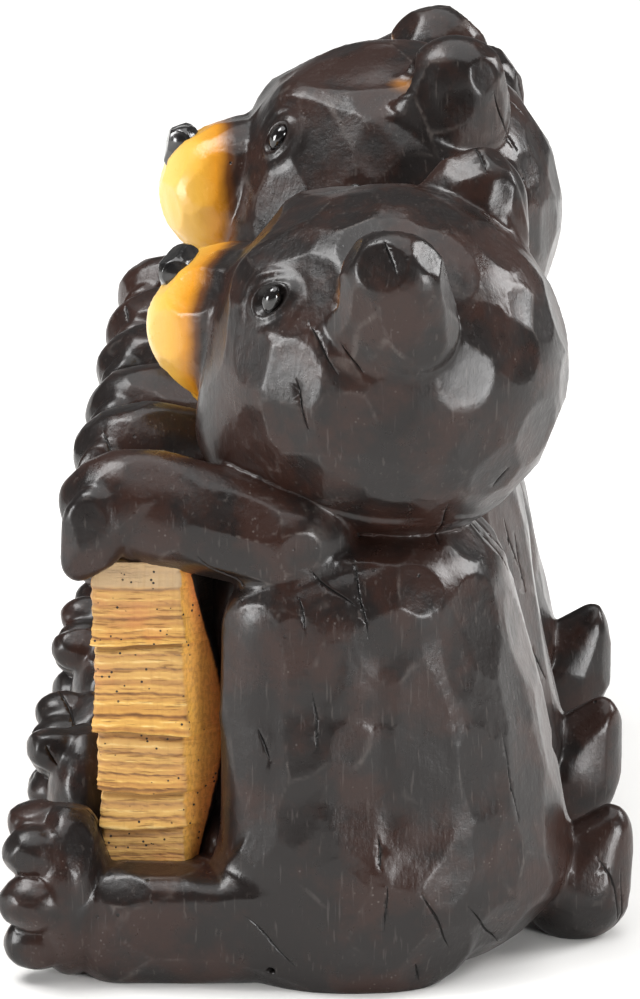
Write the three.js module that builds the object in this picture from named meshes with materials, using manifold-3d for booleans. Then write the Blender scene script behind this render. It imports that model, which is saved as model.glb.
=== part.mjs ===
// A cast ornament of three carved bears: they sit side by side with a long wooden sign across
// their laps, their forearms laid along its top edge and their feet sticking out under it.
// Millimetres, +Z up. The bears face -Y and sit in a row along X. The origin is on the ground,
// under the middle of the whole group.
//
// Every rounded form is chiselled: planes that touch a smooth shape from outside are cut one
// by one, so each form is a convex solid of flat facets, the way a carver leaves a log.

import * as THREE from "three";
import { ConvexHull } from "three/addons/math/ConvexHull.js";
import { ConvexGeometry } from "three/addons/geometries/ConvexGeometry.js";
import { mergeVertices } from "three/addons/utils/BufferGeometryUtils.js";
import Module from "manifold-3d";

// ---- Driving dimensions --------------------------------------------------------------------

const BEAR_SPACING = 112; // from one bear's middle to the next, along the row
const SKULL = { width: 60, depth: 62, height: 61 }; // radii of the round head
const CUB_HEAD_HEIGHT = 210; // middle of an outer bear's skull above the ground
const PARENT_HEAD_HEIGHT = 238; // the middle bear sits taller
const HEAD_BACKSET = 22; // skull's middle behind the middle of the seat
const LEG_SPREAD = 40; // each leg's distance from the bear's middle
const ARM_SPREAD = 29; // each paw's distance from the bear's middle
const SOLE_FRONT = -98; // y of the soles
const SIGN_LENGTH = 308;
const SIGN_BOTTOM = 37.5;
const SIGN_TOP = 149;
const SIGN_FRONT = -79; // y of the sign's face
const SIGN_BACK = -47; // y of the sign's sawn back
const SIGN_WEDGE = 12; // depth of the wedge that fills the corner between sign and bellies
const FACET_BITE = 0.9; // the deepest that a facet is cut below the smooth form

// ---- Chiselled forms -----------------------------------------------------------------------

const wasm = await Module();
wasm.setup();

const DEGREE = Math.PI / 180;

/** A repeatable source of numbers from 0 to 1, so that every build cuts the same facets. */
function makeRandom(seed) {
  let state = seed;
  return () => {
    state = (state + 0x6d2b79f5) | 0;
    let mixed = Math.imul(state ^ (state >>> 15), 1 | state);
    mixed = (mixed + Math.imul(mixed ^ (mixed >>> 7), 61 | mixed)) ^ mixed;
    return ((mixed ^ (mixed >>> 14)) >>> 0) / 4294967296;
  };
}
const random = makeRandom(17);

/** An ellipsoid: its middle, its three radii and how far it is turned about x, y and z, in degrees. */
function blob(at, radii, turn = [0, 0, 0]) {
  const euler = new THREE.Euler(...turn.map((angle) => angle * DEGREE));
  return {
    at: new THREE.Vector3(...at),
    radii: new THREE.Vector3(...(Array.isArray(radii) ? radii : [radii, radii, radii])),
    turn: new THREE.Quaternion().setFromEuler(euler),
  };
}

/** The same ellipsoid on the other side of the bear. */
function mirrored({ at, radii, turn }) {
  return {
    at: new THREE.Vector3(-at.x, at.y, at.z),
    radii,
    turn: new THREE.Quaternion(turn.x, -turn.y, -turn.z, turn.w),
  };
}

/** How far the ellipsoid, scaled by "fit", reaches from the point "from" in a direction. */
function reach({ at, radii, turn }, direction, from, fit) {
  const local = direction.clone().applyQuaternion(turn.clone().invert());
  return at.clone().sub(from).dot(direction) + fit * local.multiply(radii).length();
}

/** Directions spread evenly over the sphere on a golden spiral, each nudged a little. */
function spreadDirections(count) {
  const golden = Math.PI * (3 - Math.sqrt(5));
  const nudge = 1.1 / Math.sqrt(count);
  return Array.from({ length: count }, (_, index) => {
    const height = 1 - (2 * index + 1) / count;
    const ring = Math.sqrt(1 - height * height);
    const angle = golden * index;
    return new THREE.Vector3(ring * Math.cos(angle), height, ring * Math.sin(angle))
      .add(new THREE.Vector3(random() - 0.5, random() - 0.5, random() - 0.5).multiplyScalar(nudge))
      .normalize();
  });
}

/** The convex solid around some ellipsoids, cut with flat facets: a manifold-3d solid. */
function chisel(blobs, facets) {
  // Few facets stand far off the smooth form at their corners, so they are cut a little deeper.
  const fit = 1 - 1.2 / facets;
  const middle = new THREE.Vector3();
  blobs.forEach(({ at }) => middle.addScaledVector(at, 1 / blobs.length));
  // A plane's pole is its normal over its distance, and a corner of the solid is where the
  // planes of one face of the poles' hull meet.
  const poles = spreadDirections(facets).map((direction) => {
    const distance = Math.max(...blobs.map((one) => reach(one, direction, middle, fit)));
    return direction.divideScalar(distance - FACET_BITE * random());
  });
  const corners = new ConvexHull()
    .setFromPoints(poles)
    .faces.map(({ normal, constant }) => normal.clone().divideScalar(constant).add(middle));
  return solidOf(new ConvexGeometry(corners));
}

/** A closed geometry as a manifold-3d solid. */
function solidOf(geometry) {
  const bare = new THREE.BufferGeometry().setAttribute("position", geometry.getAttribute("position"));
  if (geometry.index) bare.setIndex(geometry.index);
  const merged = mergeVertices(bare, 1e-3);
  return new wasm.Manifold(
    new wasm.Mesh({
      numProp: 3,
      vertProperties: new Float32Array(merged.attributes.position.array),
      triVerts: new Uint32Array(merged.index.array),
    }),
  );
}

/** Several solids joined into one. */
function join(solids) {
  return solids.reduce((whole, next) => whole.add(next));
}

// ---- One bear ------------------------------------------------------------------------------
// In the bear's own frame: its seat's middle on the ground is the origin, it faces -Y and +X
// is its left. Lists of blobs give the left limb, and the right one is mirrored.

/** Both sides of a limb. */
function pair(parts) {
  return parts.flatMap(([blobs, facets]) => [
    chisel(blobs, facets),
    chisel(blobs.map(mirrored), facets),
  ]);
}

/** The pear-shaped trunk: broad seat, sloping back and a chest that runs up under the chin. */
function trunk(headHeight) {
  const seat = blob([0, 24, 34], [62, 64, 42]);
  const belly = blob([0, 23, 80], [57, 55, 46]);
  const shoulders = blob([0, 22, headHeight - 80], [52, 43, 34]);
  return [chisel([seat, belly, shoulders], 52)];
}

/** Haunches folded at the sides, legs forward along the ground and soles upright at their ends. */
function legs() {
  const haunch = blob([44, 10, 31], [21, 48, 39]);
  const knee = blob([LEG_SPREAD, -22, 18], [21, 30, 21]);
  const ankle = blob([LEG_SPREAD, -70, 15], [19, 20, 20]);
  const foot = blob([LEG_SPREAD, -88, 31], [20, 13, 30]);
  return pair([
    [[haunch], 18],
    [[knee, ankle], 14],
    [[foot], 16],
  ]);
}

/** Four toes round the outer edge of each sole, from its top to its heel. */
function toes() {
  const sizes = [7.5, 8, 9, 8.5];
  const firstAngle = 95;
  const stepAngle = -48;
  return pair(
    sizes.map((radius, index) => {
      const angle = (firstAngle + stepAngle * index) * DEGREE;
      const x = LEG_SPREAD - 1 + 16 * Math.cos(angle);
      const z = 31 + 23 * Math.sin(angle);
      return [[blob([x, SOLE_FRONT - 2, z], [radius, radius + 1, radius])], 8];
    }),
  );
}

/** Upper arms hanging down the sides, forearms reaching forward and paws flat on the sign. */
function arms(shoulderLift) {
  const shoulder = blob([34, 22, 132 + shoulderLift], [22, 32, 26]);
  const elbow = blob([39, -4, 125 + shoulderLift / 2], [19, 30, 27]);
  const wrist = blob([ARM_SPREAD + 6, -13, 155], [18, 24, 19]);
  const paw = blob([ARM_SPREAD, -62, 167], [16, 27, 19]);
  return pair([
    [[shoulder, elbow], 20],
    [[wrist, paw], 20],
  ]);
}

/** The fingers of each hand, hooked over the sign's top edge and a little way down its face. */
function fingers() {
  const knuckles = [-9, 9].map((side) => blob([ARM_SPREAD + side, -77, 161], [7, 9, 12]));
  const tips = [-9, 9].map((side) => blob([ARM_SPREAD + side, -82, 149], [5, 5, 6]));
  return pair([[[...knuckles, ...tips], 12]]);
}

/** The stub of a tail, a leaf shape that stands up off the back. */
function tail() {
  return [chisel([blob([0, 90, 17], [15, 17, 19]), blob([0, 102, 38], [7, 5, 8])], 13)];
}

/** The head in its own frame: the skull's middle is the origin. */
function headParts() {
  const skull = blob([0, 0, 0], [SKULL.width, SKULL.depth, SKULL.height]);
  const jowl = blob([20, -26, -19], [31, 35, 33]);
  const brow = blob([19, -28, 38], [20, 21, 17]);
  const dome = chisel([skull, jowl, mirrored(jowl), brow, mirrored(brow)], 74);
  const cheek = blob([9, -50, 7], [18, 34, 27]);
  const bridge = blob([0, -42, 22], [15, 26, 13]);
  const snout = chisel([cheek, mirrored(cheek), bridge], 26);
  const chin = chisel([blob([0, -60, -14], [13, 15, 10])], 8);
  const nostril = blob([4, -76, 27], [7, 7, 7]);
  const nose = chisel([nostril, mirrored(nostril)], 10);
  return [dome, snout, chin, nose, ...ears()];
}

/** Round ears, hollow in front. */
function ears() {
  const shell = [blob([39, 22, 42], [13, 16, 20]), blob([42, 24, 53], [12, 14, 18])];
  const hollow = [blob([50, 10, 54], [10, 12, 13])];
  const one = (side) => chisel(shell.map(side), 16).subtract(chisel(hollow.map(side), 8));
  return [one((part) => part), one(mirrored)];
}

/** A whole bear as one solid, with its head turned, tilted and nodded, in degrees. */
function bear({ x, headHeight, turn, tilt, nod }) {
  const pose = new THREE.Matrix4().compose(
    new THREE.Vector3(0, HEAD_BACKSET, headHeight),
    new THREE.Quaternion().setFromEuler(new THREE.Euler(nod * DEGREE, tilt * DEGREE, turn * DEGREE, "ZYX")),
    new THREE.Vector3(1, 1, 1),
  );
  const head = join(headParts()).transform(pose.toArray());
  const shoulderLift = headHeight - CUB_HEAD_HEIGHT;
  const body = [trunk(headHeight), legs(), toes(), arms(shoulderLift), fingers(), tail()].flat();
  return join([head, ...body]).translate([x, 0, 0]);
}

// ---- The sign ------------------------------------------------------------------------------

/** The sign's outline seen from the front: long edges nearly straight, ends split in steps. */
function signOutline(inset) {
  const half = SIGN_LENGTH / 2 - inset;
  const height = SIGN_TOP - SIGN_BOTTOM;
  const wave = (along) => 1.1 * Math.sin(along * 9) + 0.8 * Math.sin(along * 23 + 1);
  // How far each step of a split end lies behind the tip, from the bottom of the sign up.
  const steps = [2, 0, 4, 1, 0, 3, 1];
  const endPoints = (side) =>
    steps.map((depth, index) => {
      const share = index / (steps.length - 1);
      const z = SIGN_BOTTOM + inset / 2 + (height - inset) * share;
      return new THREE.Vector2(side * (half - depth), z);
    });
  const points = endPoints(1);
  for (let along = 0.9; along > -0.95; along -= 0.2)
    points.push(new THREE.Vector2(along * half, SIGN_TOP - inset / 2 + wave(along)));
  points.push(...endPoints(-1).reverse());
  for (let along = -0.9; along < 0.95; along += 0.2)
    points.push(new THREE.Vector2(along * half, SIGN_BOTTOM + inset / 2 + wave(along + 4)));
  return points;
}

/** A closed solid through outlines of equal length, each standing upright at its own y. */
function loft(sections) {
  const count = sections[0].outline.length;
  const positions = sections.flatMap(({ outline, y }) => outline.flatMap((point) => [point.x, y, point.y]));
  const faces = [];
  for (let ring = 0; ring < sections.length - 1; ring++)
    for (let index = 0; index < count; index++) {
      const a = ring * count + index;
      const b = ring * count + ((index + 1) % count);
      faces.push(a, a + count, b, b, a + count, b + count);
    }
  const caps = THREE.ShapeUtils.triangulateShape(sections[0].outline, []);
  const last = (sections.length - 1) * count;
  caps.forEach(([a, b, c]) => faces.push(a, b, c, last + a, last + c, last + b));
  return new THREE.BufferGeometry()
    .setAttribute("position", new THREE.Float32BufferAttribute(positions, 3))
    .setIndex(faces);
}

/** Everything behind the sign's hewn face, which rolls in and out from top to bottom. */
function hewnFace() {
  const rolls = 4;
  const depth = 1.4;
  const lean = 2.5;
  const steps = 9;
  const shape = new THREE.Shape();
  const back = SIGN_BACK + 2 * SIGN_WEDGE;
  shape.moveTo(back, SIGN_BOTTOM - 5);
  for (let index = 0; index <= steps; index++) {
    const share = index / steps;
    const roll = depth * Math.abs(Math.sin(share * rolls * Math.PI));
    const y = SIGN_FRONT + lean * (1 - share) - roll + depth;
    shape.lineTo(y, SIGN_BOTTOM - 5 + (SIGN_TOP - SIGN_BOTTOM + 10) * share);
  }
  shape.lineTo(back, SIGN_TOP + 5);
  const prism = new THREE.ExtrudeGeometry(shape, { depth: SIGN_LENGTH + 20, bevelEnabled: false });
  // Shape x is world y, shape y is world z and the extrusion runs along world x.
  prism.applyMatrix4(new THREE.Matrix4().set(0, 0, 1, -SIGN_LENGTH / 2 - 10, 1, 0, 0, 0, 0, 1, 0, 0, 0, 0, 0, 1));
  return solidOf(prism);
}

/** The sign board, with the wedge behind it that meets the bears' bellies. */
function sign() {
  const board = solidOf(
    loft([
      { outline: signOutline(0), y: SIGN_FRONT - 5 },
      { outline: signOutline(0), y: SIGN_BACK },
      { outline: signOutline(9), y: SIGN_BACK + SIGN_WEDGE },
    ]),
  );
  return board.intersect(hewnFace());
}

// ---- The group -----------------------------------------------------------------------------

/** Everything below the ground, cut away so that the casting stands flat. */
function ground() {
  const block = new THREE.BoxGeometry(600, 600, 100);
  block.translate(0, 0, -50);
  return solidOf(block);
}

const joined = join([
  bear({ x: BEAR_SPACING, headHeight: CUB_HEAD_HEIGHT, turn: -20, tilt: 14, nod: -3 }),
  bear({ x: 0, headHeight: PARENT_HEAD_HEIGHT, turn: 4, tilt: -8, nod: 0 }),
  bear({ x: -BEAR_SPACING, headHeight: CUB_HEAD_HEIGHT, turn: 20, tilt: -14, nod: -3 }),
  sign(),
]).subtract(ground());

// Pockets shut in between the forms are solid in the casting: only outer skins are kept.
const family = join(joined.decompose().filter((body) => body.volume() > 0));

/** A manifold-3d solid as a geometry, moved so that the origin is under its middle. */
function geometryOf(solid) {
  const { numProp, vertProperties, triVerts } = solid.getMesh();
  const positions = new Float32Array((vertProperties.length / numProp) * 3);
  for (let index = 0; index < positions.length / 3; index++)
    positions.set(vertProperties.subarray(index * numProp, index * numProp + 3), index * 3);
  const geometry = new THREE.BufferGeometry()
    .setAttribute("position", new THREE.BufferAttribute(positions, 3))
    .setIndex(new THREE.BufferAttribute(triVerts, 1));
  geometry.computeBoundingBox();
  const middle = geometry.boundingBox.getCenter(new THREE.Vector3());
  geometry.translate(-middle.x, -middle.y, 0);
  geometry.computeVertexNormals();
  return geometry;
}

const castResin = new THREE.MeshStandardMaterial({ color: 0x2b2424, roughness: 0.42, metalness: 0 });
const bearFamily = new THREE.Mesh(geometryOf(family), castResin);
bearFamily.name = "bear_family";

const model = new THREE.Group();
model.add(bearFamily);

export default model;
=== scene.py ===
"""The looks of a cast group of three carved bears that hold a wooden sign across their laps.

The bears are built up from eggs of solid wood, as a carver blocks out a log, melted into one skin,
and then cut all over with gouge strokes, drying checks and carved eyes. The sign is a hewn board
with split ends. All work is done in millimetres and every finished piece is scaled to metres.
"""

import logging
import math
from dataclasses import dataclass, field, replace
from enum import Enum

import bpy
import numpy as np
from mathutils import Matrix, Vector


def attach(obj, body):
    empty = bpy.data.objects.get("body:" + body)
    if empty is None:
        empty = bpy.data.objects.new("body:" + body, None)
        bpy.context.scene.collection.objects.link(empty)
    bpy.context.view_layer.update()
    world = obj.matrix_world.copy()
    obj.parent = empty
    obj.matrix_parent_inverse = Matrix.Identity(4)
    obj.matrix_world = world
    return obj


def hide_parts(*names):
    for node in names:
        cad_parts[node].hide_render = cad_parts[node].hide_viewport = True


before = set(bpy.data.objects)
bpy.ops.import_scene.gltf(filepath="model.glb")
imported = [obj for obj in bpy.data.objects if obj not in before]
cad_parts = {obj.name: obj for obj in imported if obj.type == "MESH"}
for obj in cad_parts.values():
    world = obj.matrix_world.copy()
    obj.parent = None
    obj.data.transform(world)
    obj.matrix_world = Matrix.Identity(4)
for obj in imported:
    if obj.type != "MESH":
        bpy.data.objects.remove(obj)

LOG = logging.getLogger("bear_family")
MM = 0.001
CAD_NODE = "bear_family"
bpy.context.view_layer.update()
CAD_SHIFT = (0.374, 0.958)  # mm, from the bears' own layout to the middle of the CAD model's box


class Side(Enum):
    """A side of a bear, as the sign of its x."""

    LEFT = 1
    RIGHT = -1


class Slot(Enum):
    """The record's material slots."""

    RESIN = "painted_resin"
    SIGN = "sign_paint"


# ---- Working with meshes -------------------------------------------------------------------


def deselect_all() -> None:
    """Leaves nothing selected, so that an operator acts only on what is chosen next."""
    bpy.ops.object.select_all(action="DESELECT")


def choose(*objects: bpy.types.Object) -> None:
    """Selects these objects alone and makes the first one active.

    Args:
        objects: the objects, at least one.
    """
    deselect_all()
    for one in objects:
        one.select_set(True)
    bpy.context.view_layer.objects.active = objects[0]


def apply_modifier(piece: bpy.types.Object, kind: str, **settings: object) -> None:
    """Adds a modifier to a piece and applies it at once.

    Args:
        piece: the object to change.
        kind: the modifier's type, such as "REMESH".
        settings: the modifier's own settings by name.
    """
    choose(piece)
    modifier = piece.modifiers.new(kind.lower(), kind)
    for name, value in settings.items():
        setattr(modifier, name, value)
    bpy.ops.object.modifier_apply(modifier=modifier.name)


def join(pieces: list[bpy.types.Object], name: str) -> bpy.types.Object:
    """Joins objects into one mesh object.

    Args:
        pieces: the objects, all of them meshes.
        name: the name of the joined object.

    Returns:
        The joined object.
    """
    choose(*pieces)
    if len(pieces) > 1:
        bpy.ops.object.join()
    joined = bpy.context.view_layer.objects.active
    joined.name = name
    joined.data.name = name
    return joined


def coordinates(piece: bpy.types.Object) -> np.ndarray:
    """The places of a mesh's vertices, one row each.

    Args:
        piece: a mesh object.

    Returns:
        The places, in the mesh's own units.
    """
    flat = np.empty(len(piece.data.vertices) * 3, np.float32)
    piece.data.vertices.foreach_get("co", flat)
    return flat.reshape(-1, 3)


def normals(piece: bpy.types.Object) -> np.ndarray:
    """The outward normals of a mesh's vertices, one row each.

    Args:
        piece: a mesh object.

    Returns:
        The normals, each one unit long.
    """
    flat = np.empty(len(piece.data.vertices) * 3, np.float32)
    piece.data.vertex_normals.foreach_get("vector", flat)
    return flat.reshape(-1, 3)


def move_to(piece: bpy.types.Object, places: np.ndarray) -> None:
    """Puts a mesh's vertices at new places."""
    piece.data.vertices.foreach_set("co", np.ascontiguousarray(places, np.float32).ravel())
    piece.data.update()


def mark(piece: bpy.types.Object, name: str, values: np.ndarray) -> None:
    """Stores one number for each vertex as a named attribute that the materials read."""
    attribute = piece.data.attributes.get(name) or piece.data.attributes.new(name, "FLOAT", "POINT")
    attribute.data.foreach_set("value", np.ascontiguousarray(values, np.float32))


def smoothstep(low: float, high: float, values: np.ndarray) -> np.ndarray:
    """A soft step from 0 at low to 1 at high, which may be the smaller of the two."""
    share = np.clip((values - low) / (high - low), 0.0, 1.0)
    return share * share * (3.0 - 2.0 * share)


def finish_piece(piece: bpy.types.Object, angle: float) -> None:
    """Scales a piece from millimetres to metres, shades it and ties it to the CAD model.

    Args:
        piece: the finished mesh, in millimetres, in the bears' own layout.
        angle: edges sharper than this, in degrees, stay sharp.
    """
    places = coordinates(piece)
    places[:, 0] += CAD_SHIFT[0]
    places[:, 1] += CAD_SHIFT[1]
    move_to(piece, places * MM)
    choose(piece)
    bpy.ops.object.shade_smooth_by_angle(angle=math.radians(angle))
    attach(piece, "root")
    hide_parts(CAD_NODE)
    LOG.info("%s: %d faces", piece.name, len(piece.data.polygons))


# ---- Eggs of wood --------------------------------------------------------------------------


@dataclass(frozen=True)
class Egg:
    """An ellipsoid of wood: its middle and its three radii, in millimetres."""

    at: tuple[float, float, float]
    radii: tuple[float, float, float]

    def mirrored(self) -> "Egg":
        """The same egg on the other side of the bear."""
        return Egg((-self.at[0], self.at[1], self.at[2]), self.radii)

    def on(self, side: Side) -> "Egg":
        """This egg, drawn for the left side, on the side asked for."""
        return self if side is Side.LEFT else self.mirrored()

    def block(self, detail: int = 5) -> bpy.types.Object:
        """Adds the egg to the scene as a mesh object.

        Args:
            detail: how often its faces are subdivided.

        Returns:
            The egg as a mesh object.
        """
        deselect_all()
        bpy.ops.mesh.primitive_ico_sphere_add(subdivisions=detail, radius=1.0, location=self.at)
        egg = bpy.context.object
        egg.scale = self.radii
        bpy.ops.object.transform_apply(location=True, rotation=True, scale=True)
        return egg


def hull(eggs: list[Egg], detail: int = 5) -> bpy.types.Object:
    """One convex mass stretched over some eggs.

    Args:
        eggs: the eggs; one alone stays as it is.
        detail: how often each egg is subdivided.

    Returns:
        The mass as a mesh object.
    """
    mass = join([egg.block(detail) for egg in eggs], "mass")
    if len(eggs) > 1:
        bpy.ops.object.mode_set(mode="EDIT")
        bpy.ops.mesh.select_all(action="SELECT")
        bpy.ops.mesh.convex_hull()
        bpy.ops.object.mode_set(mode="OBJECT")
    return mass


def cut_away(piece: bpy.types.Object, tool: bpy.types.Object) -> None:
    """Hollows a piece with a tool shape, which is used up."""
    apply_modifier(piece, "BOOLEAN", operation="DIFFERENCE", object=tool, solver="EXACT")
    bpy.data.objects.remove(tool)


# ---- Gouge strokes and checks --------------------------------------------------------------


@dataclass(frozen=True)
class Region:
    """A part of the bear with strokes of its own size: all that lies near a point."""

    at: tuple[float, float, float]
    reach: float
    stroke: float
    stretch: float = 1.0
    strength: float = 1.0


@dataclass(frozen=True)
class Gouge:
    """How the skin is cut: each stroke leaves a shallow facet that meets the next in a soft ridge."""

    stroke: float = 20.0  # mm, how far apart strokes lie
    stretch: float = 0.72  # how much a height counts against a width between strokes
    lean: float = 0.05
    scoop: float = 0.085  # how hollow a facet is, against its size
    overlap: float = 0.5
    soften: float = 0.45  # mm over which a ridge is rounded
    deepest: float = 2.1
    proudest: float = -0.2
    tries: int = 16000
    most: int = 4000
    spacing: float = 0.43
    least_share: float = 0.72
    most_share: float = 1.3
    wander: float = 0.32
    batch: int = 16000

    def stroke_sizes(self, places: np.ndarray, regions: list[Region]) -> tuple[np.ndarray, ...]:
        """How wide the strokes are at each place, how much longer they are upwards, how deep they cut.

        Args:
            places: the points, one row each.
            regions: the parts with strokes of their own; later ones win.

        Returns:
            The widths, the factors by which a height counts less than a width, and the strengths.
        """
        widths = np.full(len(places), self.stroke, np.float32)
        stretches = np.full(len(places), self.stretch, np.float32)
        strengths = np.ones(len(places), np.float32)
        for region in regions:
            away = np.linalg.norm(places - np.array(region.at, np.float32), axis=1)
            share = 1.0 - smoothstep(0.75 * region.reach, region.reach, away)
            widths += (region.stroke - widths) * share
            stretches += (region.stretch - stretches) * share
            strengths += (region.strength - strengths) * share
        return widths, stretches, strengths

    def strike(self, places: np.ndarray, outward: np.ndarray, regions: list[Region],
               rng: np.random.Generator) -> "Strokes":
        """Picks where strokes are struck, about one stroke width apart, and how each one lies.

        Args:
            places: the skin's points, one row each.
            outward: the skin's normals there.
            regions: the parts with strokes of their own size.
            rng: the source of chance.

        Returns:
            The strokes.
        """
        order = rng.permutation(len(places))[:self.tries]
        widths, stretches, strengths = self.stroke_sizes(places[order], regions)
        widths = widths * rng.uniform(self.least_share, self.most_share, len(order)).astype(np.float32)
        chosen: list[int] = []
        kept = np.empty((self.most, 4), np.float32)
        for place, index in enumerate(order):
            count = len(chosen)
            gap = kept[:count, :3] - places[index]
            gap[:, 2] *= stretches[place]
            apart = self.spacing * (widths[place] + kept[:count, 3])
            if (np.einsum("ij,ij->i", gap, gap) < apart**2).any():
                continue
            kept[count] = (*places[index], widths[place])
            chosen.append(place)
        picked = np.array(chosen)
        facing = outward[order[picked]]
        wander = rng.normal(0.0, self.wander, facing.shape) + np.array([0.0, 0.0, 1.0])
        along = wander - facing * (wander * facing).sum(1, keepdims=True)
        along /= np.linalg.norm(along, axis=1, keepdims=True) + 1e-6
        aspect = rng.uniform(0.9, 1.5, len(picked)) / stretches[picked]
        leaning = facing + rng.normal(0.0, self.lean, facing.shape)
        return Strokes(
            site=places[order[picked]],
            facing=facing,
            leaning=leaning.astype(np.float32),
            along=along.astype(np.float32),
            aspect=aspect.astype(np.float32),
            size=widths[picked],
        )

    def cut(self, piece: bpy.types.Object, regions: list[Region], rng: np.random.Generator) -> None:
        """Cuts a smooth skin all over and marks its ridges.

        Args:
            piece: a closed, even mesh.
            regions: the parts with strokes of their own size.
            rng: the source of chance for the strokes' places and leans.
        """
        places, outward = coordinates(piece), normals(piece)
        strengths = self.stroke_sizes(places, regions)[2]
        strokes = self.strike(places, outward, regions, rng)
        scoop = self.scoop / strokes.size
        depth = self.bulges(places, outward, strokes) + scoop * (self.overlap * strokes.size) ** 2
        heights = np.empty(len(places), np.float32)
        ridges = np.empty(len(places), np.float32)
        for start in range(0, len(places), self.batch):
            part = slice(start, start + self.batch)
            away = strokes.distances(places[part])
            above = strokes.above(places[part], strokes.facing)
            tilted = strokes.above(places[part], strokes.leaning)
            level = np.maximum(above, 0.0) + (tilted - above) + scoop * away - depth
            # a stroke reaches little past its own size, and not round onto skin that faces away
            far = np.maximum(away / strokes.size**2 - 1.5, 0.0)
            turned = np.maximum(0.3 - outward[part] @ strokes.facing.T, 0.0)
            level += 0.8 * far
            level += 3.0 * turned
            two = np.partition(level, 1, axis=1)[:, :2]
            first, gap = two[:, 0], two[:, 1] - two[:, 0]
            near = np.maximum(0.0, 1.0 - gap / self.soften)  # 1 on a ridge
            heights[part] = first - 0.25 * self.soften * near**2
            ridges[part] = np.exp(-gap / 0.3)
        sunk = -self.deepest * np.tanh(np.maximum(-heights, 0.0) / self.deepest)
        heights = np.where(heights < 0.0, sunk, np.minimum(heights, self.proudest))
        # next to the ground the strokes are shallower
        calm = 0.35 + 0.65 * smoothstep(0.0, 14.0, places[:, 2])
        move_to(piece, places + outward * (heights * strengths * calm)[:, None])
        mark(piece, "ridge", ridges * strengths)
        LOG.info("%s: %d strokes", piece.name, len(strokes.size))

    def bulges(self, places: np.ndarray, outward: np.ndarray, strokes: "Strokes") -> np.ndarray:
        """How far the smooth skin falls away from each stroke's plane at the stroke's edge.

        Args:
            places: the skin's points, one row each.
            outward: the skin's normals there.
            strokes: the strokes.

        Returns:
            The fall in millimetres, one for each stroke.
        """
        total = np.zeros(len(strokes.size), np.float32)
        count = np.zeros(len(strokes.size), np.float32)
        # every seventh point is enough for an average
        some, some_out = places[::7], outward[::7]
        for start in range(0, len(some), self.batch):
            part = slice(start, start + self.batch)
            share = np.sqrt(np.maximum(strokes.distances(some[part]), 0.0)) / strokes.size
            above = strokes.above(some[part], strokes.facing)
            rim = (share > 0.42) & (share < 0.6) & (some_out[part] @ strokes.facing.T > 0.2)
            total += np.where(rim, np.clip(above, 0.0, 3.0), 0.0).sum(0)
            count += rim.sum(0)
        return 0.9 * total / np.maximum(count, 1.0)


@dataclass(frozen=True)
class Strokes:
    """Where the strokes lie: a row for each one's place, facing, lean, direction, aspect and size."""

    site: np.ndarray
    facing: np.ndarray
    leaning: np.ndarray
    along: np.ndarray
    aspect: np.ndarray
    size: np.ndarray

    def distances(self, places: np.ndarray) -> np.ndarray:
        """Squared distances from places to strokes, shortened along each stroke's direction.

        Args:
            places: the points, one row each.

        Returns:
            A row for each place and a column for each stroke.
        """
        square = (places**2).sum(1)[:, None] + (self.site**2).sum(1) - 2.0 * places @ self.site.T
        run = places @ self.along.T - (self.site * self.along).sum(1)
        return square - (1.0 - 1.0 / self.aspect**2) * run**2

    def above(self, places: np.ndarray, axes: np.ndarray) -> np.ndarray:
        """How far each place lies below each stroke's plane."""
        return (self.site * axes).sum(1) - places @ axes.T


@dataclass(frozen=True)
class Crease:
    """A long soft groove where two masses meet under one skin."""

    points: tuple[tuple[float, float, float], ...]
    half_width: float = 5.0
    depth: float = 1.3

    def sink(self, places: np.ndarray) -> np.ndarray:
        """How far the skin sinks at each place, as a negative height.

        Args:
            places: the points, one row each.

        Returns:
            The heights in millimetres.
        """
        nearest = np.full(len(places), 1e6, np.float32)
        for first, last in zip(self.points, self.points[1:]):
            start, run = np.array(first, np.float32), np.subtract(last, first).astype(np.float32)
            share = np.clip((places - start) @ run / (run @ run), 0.0, 1.0)
            nearest = np.minimum(nearest, np.linalg.norm(places - start - share[:, None] * run, axis=1))
        return -self.depth * np.exp(-((nearest / self.half_width) ** 2))


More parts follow.
